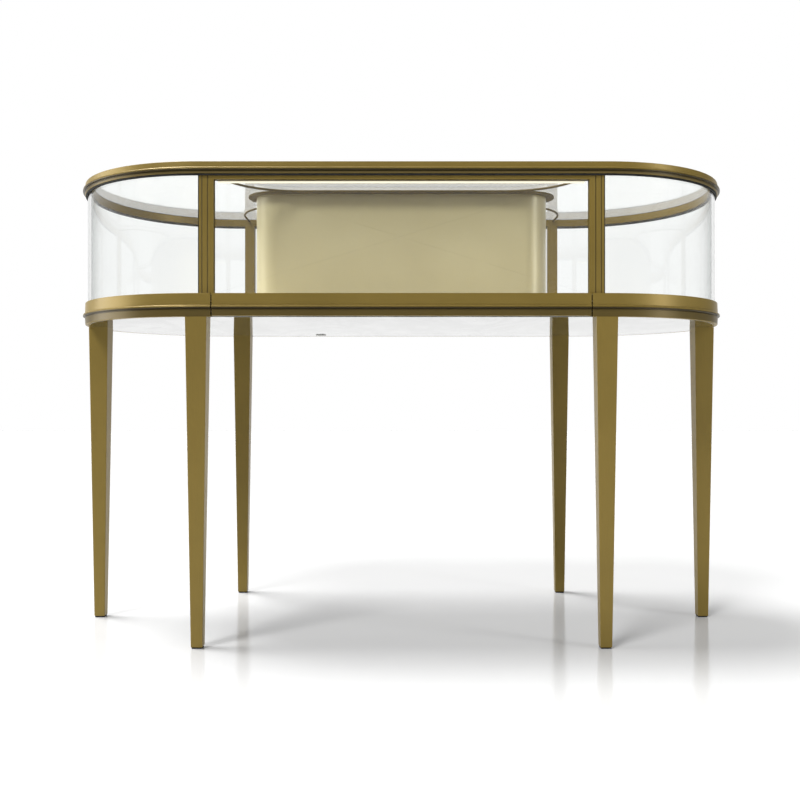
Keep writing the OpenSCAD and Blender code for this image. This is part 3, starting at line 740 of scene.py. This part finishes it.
def make_posts():
    """Square posts with two fine grooves down the outer face, whose walls take the darker stile tone as
    painted shade.
    """
    groove = 0.0013
    groove_lip = 0.0002
    from_inner_edge = 0.007
    from_outer_edge = 0.006
    for node in ("front_post_left", "front_post_right", "rear_post_left", "rear_post_right"):
        lo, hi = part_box(node)
        if lo.x > 0:
            grooves = (lo.x + from_inner_edge, hi.x - from_outer_edge)
        else:
            grooves = (lo.x + from_outer_edge, hi.x - from_inner_edge)
        front = lo.y < 0
        y = lo.y if front else hi.y
        depth = groove if front else -groove
        notches = []
        for x in grooves:
            notches += [(x - groove, y), (x, y + depth), (x + groove, y)]
        if front:
            outline = [(lo.x, lo.y)] + notches + [(hi.x, lo.y), (hi.x, hi.y), (lo.x, hi.y)]
        else:
            outline = [(lo.x, lo.y), (hi.x, lo.y), (hi.x, hi.y)] + notches[::-1] + [(lo.x, hi.y)]
        bm = plate(soften(outline, EDGE), lo.z, hi.z, FINE_EDGE)
        for face in bm.faces:
            middle = face.calc_center_median()
            in_groove = min(abs(middle.x - x) for x in grooves) < groove
            # Painted shade: the groove walls take the darker stile tone.
            if in_groove and abs(face.normal.z) < 0.5 and groove_lip < abs(middle.y - y) < groove:
                face.material_index = 1
        place(node + "_bar", bm, [BRONZE_UPRIGHT, BRONZE_STILE_SHADE], node)


def make_legs():
    """Tapered legs with eased corners."""
    names = ("front_left", "front_right", "end_left", "end_right", "rear_left", "rear_right")
    glide_w = 0.020
    foot_half = glide_w / 2 + 0.0015
    corner = 0.0012
    steps = 6
    for name in names:
        lo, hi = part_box("leg_" + name)
        cx = (lo.x + hi.x) / 2
        cy = (lo.y + hi.y) / 2
        top_half = (hi.x - lo.x) / 2
        levels = [(lo.z, foot_half - EDGE), (lo.z + EDGE, foot_half)]
        for i in range(1, steps + 1):
            t = i / steps
            levels.append((lo.z + (hi.z - lo.z) * t, foot_half + (top_half - foot_half) * t))
        rings = []
        for z, half in levels:
            square = soften(rectangle(cx - half, cy - half, cx + half, cy + half), corner)
            rings.append([(x, y, z) for x, y in square])
        place("leg_" + name + "_taper", skin(rings), BRONZE_UPRIGHT, "leg_" + name)


def make_rails():
    """The glazing rails and beads of the fixed front pane."""
    for node in ("front_top_rail", "front_bottom_rail"):
        place(node + "_bar", softened_copy(node), BRONZE_ALONG, node)
    place("front_beads_bars", softened_copy("front_beads"), BRONZE_UPRIGHT, "front_beads")


# ---------- column and support bars ----------

def make_column():
    """The lacquered column and the thin plate that caps it."""
    lo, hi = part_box("core_body")
    r = (hi.y - lo.y) / 2
    half = hi.x - r
    place("core_body_shell", plate(stadium(half, r, 48), lo.z, hi.z, FINE_EDGE), LACQUER, "core_body")
    lo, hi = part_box("core_cap")
    cap_r = (hi.y - lo.y) / 2
    cap_edge = 0.0009
    # The cap takes the darker, dull bronze as painted shade.
    place("core_cap_plate", plate(stadium(half, cap_r, 64), lo.z, hi.z, cap_edge), BRONZE_DULL_SHADE, "core_cap")


def make_support_bars():
    """Round bars bent into a U, with smooth bends."""
    for node, side in {"front_support_bar": -1, "rear_support_bar": 1}.items():
        lo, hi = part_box(node)
        radius = (hi.z - lo.z) / 2
        z = (lo.z + hi.z) / 2
        half_x = hi.x - radius
        near_y = (lo.y if side > 0 else -hi.y) + radius
        far_y = hi.y if side > 0 else -lo.y
        bend = 0.148
        steps = 32
        path = [(-half_x, side * far_y, z)]
        for i in range(steps + 1):
            a = math.pi / 2 * i / steps
            path.append((-half_x + bend * (1 - math.cos(a)), side * (near_y + bend * (1 - math.sin(a))), z))
        path += [(-x, y, z) for x, y, z in path[::-1]]
        # The bars take the darker, dull bronze as painted shade.
        place(node + "_rod", tube(path, radius), BRONZE_DULL_SHADE, node)


# ---------- deck ----------

def make_deck():
    """Deck board, bored for the door pins and the flush bolt, with its outer edge faces in the darkest bronze
    tone as painted shade.
    """
    bm = softened_copy("deck_board")
    for face in bm.faces:
        if abs(face.normal.z) < 0.3 and depth_in(face.calc_center_median()) < GLASS_IN:
            # Painted shade: the outer edge faces take the darkest bronze tone.
            face.material_index = 1
    place("deck_board_panel", bm, [CREAM_BOARD, BRONZE_PAINTED_SHADOW], "deck_board")


def make_deck_pad():
    """Cloth-covered pad with soft edges, notched round the posts and holed for the bolt."""
    pad = place("deck_pad_cloth", softened_copy("deck_pad", PAD_EDGE), CREAM_CLOTH, "deck_pad")


def make_underside():
    """The gloss panel that closes the base."""
    lo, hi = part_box("bottom_panel")
    board = plate(stadium(STRAIGHT, hi.y), lo.z, hi.z, EDGE)
    place("bottom_panel_board", board, WHITE_PANEL, "bottom_panel")


# ---------- smaller parts ----------

def make_small_parts():
    """Parts that keep the frame's shape, with their edges eased."""
    black = moulded("black_plastic", (0.02, 0.02, 0.02))
    white = moulded("white_plastic", (0.62, 0.62, 0.60))
    channel = aluminium("satin_aluminium")
    glow = lit_diffuser("warm_diffuser")
    clear = soft_clear("clear_pad")
    groups = {
        # The stiles take the darker bronze as painted shade.
        BRONZE_STILE_SHADE: ("left_hinge_stile", "right_hinge_stile", "left_lock_stile", "right_lock_stile"),
        BRONZE_TURNED: ("left_knob", "right_knob", "bolt_guides", "lock_plug"),
        BRIGHT_ZINC: ("lock_housing", "door_bolt", "frame_bolts", "fixed_runners", "moving_runners"),
        BLACK_RUBBER: ("glass_seals", "foot_glides"),
        black: ("pivot_bushes", "magnetic_catch"),
        white: ("led_driver", "cable_gland"),
        channel: ("led_channel",),
        glow: ("led_strip", "led_diffuser"),
        clear: ("glass_bumpers",),
        FRAME_COAT: ("side_frame_left", "side_frame_right", "tie_rails"),
        BIRCH: ("drawer_box",),
    }
    for material, nodes in groups.items():
        for node in nodes:
            place(node + "_part", softened_copy(node), material, node)


def make_drawer_liner():
    """The cloth pad on the drawer's floor."""
    lo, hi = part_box("drawer_liner")
    outline = soften(rectangle(lo.x, lo.y, hi.x, hi.y), LINER_CORNER)
    cushion = plate(outline, lo.z, hi.z, LINER_EDGE, steps=4)
    pad = place("drawer_liner_cloth", cushion, CREAM_CLOTH, "drawer_liner")


# ---------- studio ----------

STUDIO_REACH = 13
CARD_H = 7


def white_glow(name):
    """A white emission for a studio card."""
    material = bpy.data.materials.new(name)
    material.use_nodes = True
    tree = material.node_tree
    tree.nodes.remove(tree.nodes["Principled BSDF"])
    light = tree.nodes.new("ShaderNodeEmission")
    light.inputs["Color"].default_value = (1, 1, 1, 1)
    light.inputs["Strength"].default_value = 1.0
    tree.links.new(light.outputs["Emission"], tree.nodes["Material Output"].inputs["Surface"])
    return material


def card(name, corners, material):
    """A flat studio card that only reflections meet."""
    mesh = bpy.data.meshes.new(name)
    mesh.from_pydata(corners, [], [(0, 1, 2, 3)])
    mesh.materials.append(material)
    obj = bpy.data.objects.new(name, mesh)
    bpy.context.scene.collection.objects.link(obj)
    obj.visible_camera = False
    obj.visible_diffuse = False
    obj.visible_transmission = False
    obj.visible_shadow = False
    obj.visible_volume_scatter = False


def area_light(name, place_at, size, power):
    """A white panel that faces the case."""
    aim = (0, 0, 0.6)
    data = bpy.data.lights.new(name, "AREA")
    data.shape = "RECTANGLE"
    data.size, data.size_y = size
    data.energy = power
    lamp = bpy.data.objects.new(name, data)
    lamp.location = place_at
    lamp.rotation_euler = (Vector(aim) - Vector(place_at)).to_track_quat("-Z", "Y").to_euler()
    lamp.visible_camera = False
    bpy.context.scene.collection.objects.link(lamp)


def sun(name, towards, strength, spread):
    """A broad soft light that falls evenly on the whole floor."""
    data = bpy.data.lights.new(name, "SUN")
    data.energy = strength
    data.angle = math.radians(spread)
    lamp = bpy.data.objects.new(name, data)
    lamp.rotation_euler = Vector(towards).to_track_quat("Z", "Y").to_euler()
    bpy.context.scene.collection.objects.link(lamp)


def keep_lamps_off_glass():
    """The panes mirror the white studio but not the lamps, which would show as hard patches."""
    spared = bpy.data.collections.new("panes_without_lamps")
    for obj in bpy.data.objects:
        if obj.type == "MESH" and obj.data.materials and obj.data.materials[0] in (CLEAR, BENT_CLEAR):
            spared.objects.link(obj)
    for entry in spared.collection_objects:
        entry.light_linking.link_state = "EXCLUDE"
    for lamp in bpy.data.objects:
        if lamp.type == "LIGHT":
            lamp.light_linking.receiver_collection = spared


def make_world(seen, felt):
    """White where it is looked at, also through glass, and dimmer where it lights and reflects."""
    world = bpy.data.worlds.new("studio")
    world.use_nodes = True
    tree = world.node_tree
    path = tree.nodes.new("ShaderNodeLightPath")
    either = tree.nodes.new("ShaderNodeMath")
    either.operation = "MAXIMUM"
    level = tree.nodes.new("ShaderNodeMapRange")
    level.inputs["To Min"].default_value = felt
    level.inputs["To Max"].default_value = seen
    back = tree.nodes["Background"]
    back.inputs["Color"].default_value = (1, 1, 1, 1)
    tree.links.new(path.outputs["Is Camera Ray"], either.inputs[0])
    tree.links.new(path.outputs["Is Transmission Ray"], either.inputs[1])
    tree.links.new(either.outputs["Value"], level.inputs["Value"])
    tree.links.new(level.outputs["Result"], back.inputs["Strength"])
    bpy.context.scene.world = world


def make_floor():
    """A pale floor that ends at the back card."""
    look = Look("floor", specular_ior_level=0.14)
    film = look.noise((1.5, 1.5, 1.5), detail=3)
    look.feed("Base Color", look.shades(film, (0.3, (0.55, 0.55, 0.55)), (0.7, (0.57, 0.57, 0.57))))
    look.feed("Roughness", look.remap(film, 0.10, 0.14))
    corners = [(x, y, 0) for x, y in rectangle(-STUDIO_REACH, -STUDIO_REACH, STUDIO_REACH, STUDIO_REACH)]
    mesh = bpy.data.meshes.new("floor")
    mesh.from_pydata(corners, [], [(0, 1, 2, 3)])
    mesh.materials.append(look.material)
    floor = bpy.data.objects.new("floor", mesh)
    bpy.context.scene.collection.objects.link(floor)


def make_studio():
    """White surroundings, a high key light, a softer front light and a panel at each side."""
    scene = bpy.context.scene
    scene.view_settings.view_transform = "Standard"
    scene.cycles.caustics_reflective = False
    scene.cycles.caustics_refractive = False
    make_world(seen=1.0, felt=0.16)
    make_floor()
    upright = [(x, STUDIO_REACH, z) for x, z in rectangle(-STUDIO_REACH, 0, STUDIO_REACH, CARD_H)]
    card("back_card", upright, white_glow("white_card"))
    sun("key", (-0.366, 0.169, 0.915), strength=4.3, spread=26)
    sun("front", (-0.40, -0.54, 0.74), strength=2.25, spread=18)
    area_light("side_left", (-3.3, 0.0, 1.1), size=(2.2, 2.2), power=64)
    area_light("side_right", (2.6, -1.5, 1.2), size=(0.6, 2.0), power=26)


make_camera()
make_studio()
make_base()
make_top_frame()
make_top_gasket()
make_glass()
make_posts()
make_legs()
make_rails()
make_column()
make_support_bars()
make_deck()
make_deck_pad()
make_underside()
make_small_parts()
make_drawer_liner()
keep_lamps_off_glass()
